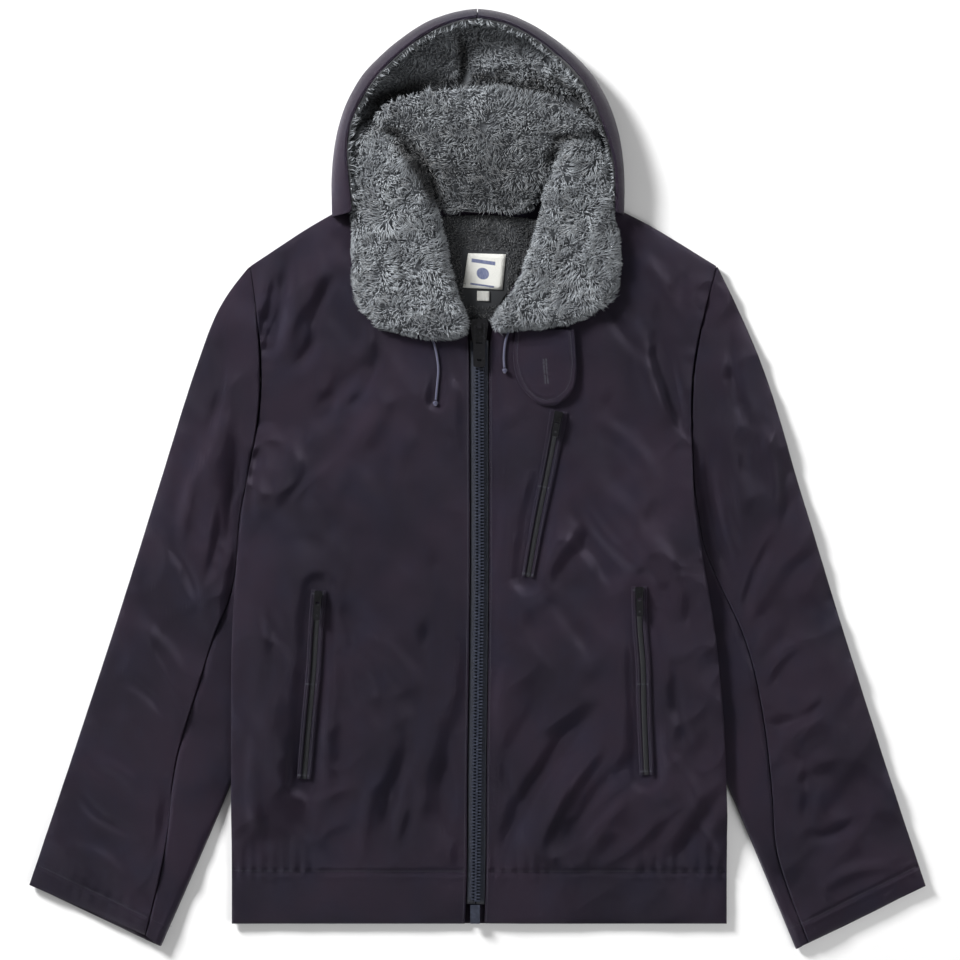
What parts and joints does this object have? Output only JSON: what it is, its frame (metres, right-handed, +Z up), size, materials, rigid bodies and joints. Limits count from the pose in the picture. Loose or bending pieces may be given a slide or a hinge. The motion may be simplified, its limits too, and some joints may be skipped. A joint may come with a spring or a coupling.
{
  "type": "sailing jacket",
  "caption": "Zip-front sailing jacket laid flat on its back, with a pile-lined hood and turned-out collar, a chin tab, drawcords and zipped pockets.",
  "frame": {"origin": "middle of the jacket's bounding box, on the table it lies on", "axes": "+X towards the wearer's left side, +Y up the jacket towards the hood, +Z up off the table"},
  "size_m": [0.863, 0.9052, 0.038],
  "materials": {
    "shell_cloth": "close-woven shell cloth with a faint sheen",
    "zip_tape": "woven zip tape",
    "zip_teeth": "moulded zip teeth",
    "grey_pile": "deep curly pile",
    "knit_facing": "plain knit",
    "drawcord": "braided cord",
    "black_metal": "black enamelled metal",
    "woven_label": "woven label"
  },
  "bodies": {
    "jacket": {"back": "shell_cloth", "chin_tab": "shell_cloth", "collar_back": "grey_pile", "collar_leaf_left": "grey_pile", "collar_leaf_right": "grey_pile", "drawcord_left": "drawcord", "drawcord_left_knot": "drawcord", "drawcord_right": "drawcord", "drawcord_right_knot": "drawcord", "front_left": "shell_cloth", "front_right": "shell_cloth", "hood_left": "shell_cloth", "hood_lining_left": "grey_pile", "hood_lining_right": "grey_pile", "hood_right": "shell_cloth", "neck_facing": "knit_facing", "neck_label": "woven_label", "pocket_chest_welt_inner": "shell_cloth", "pocket_chest_welt_outer": "shell_cloth", "pocket_chest_zip": "zip_teeth", "pocket_hand_left_welt_inner": "shell_cloth", "pocket_hand_left_welt_outer": "shell_cloth", "pocket_hand_left_zip": "zip_teeth", "pocket_hand_right_welt_inner": "shell_cloth", "pocket_hand_right_welt_outer": "shell_cloth", "pocket_hand_right_zip": "zip_teeth", "size_tab": "woven_label", "sleeve_top_left": "shell_cloth", "sleeve_top_right": "shell_cloth", "sleeve_under_left": "shell_cloth", "sleeve_under_right": "shell_cloth", "zip_box": "black_metal", "zip_slider_chest": "black_metal", "zip_slider_hand_left": "black_metal", "zip_slider_hand_right": "black_metal", "zip_slider_main": "black_metal", "zip_tape_left": "zip_tape", "zip_tape_right": "zip_tape", "zip_teeth": "zip_teeth"},
    "pull_main": {"zip_pull_main": "black_metal"},
    "pull_chest": {"zip_pull_chest": "black_metal"},
    "pull_hand_right": {"zip_pull_hand_right": "black_metal"},
    "pull_hand_left": {"zip_pull_hand_left": "black_metal"}
  },
  "joints": [
    {"name": "pull_main_swing", "type": "hinge", "parent": "jacket", "child": "pull_main", "pos_m": [0.0017, 0.1477, 0.01545], "axis": [-1, 0, 0], "range_deg": [0, 150]},
    {"name": "pull_chest_swing", "type": "hinge", "parent": "jacket", "child": "pull_chest", "pos_m": [0.07778, 0.06245, 0.01578], "axis": [-0.9848, 0.1735, 0], "range_deg": [0, 120]},
    {"name": "pull_hand_right_swing", "type": "hinge", "parent": "jacket", "child": "pull_hand_right", "pos_m": [-0.15249, -0.10969, 0.02166], "axis": [-0.9967, 0.0813, 0], "range_deg": [0, 150]},
    {"name": "pull_hand_left_swing", "type": "hinge", "parent": "jacket", "child": "pull_hand_left", "pos_m": [0.15505, -0.1058, 0.02372], "axis": [-0.9999, -0.0154, 0], "range_deg": [0, 150]}
  ]
}
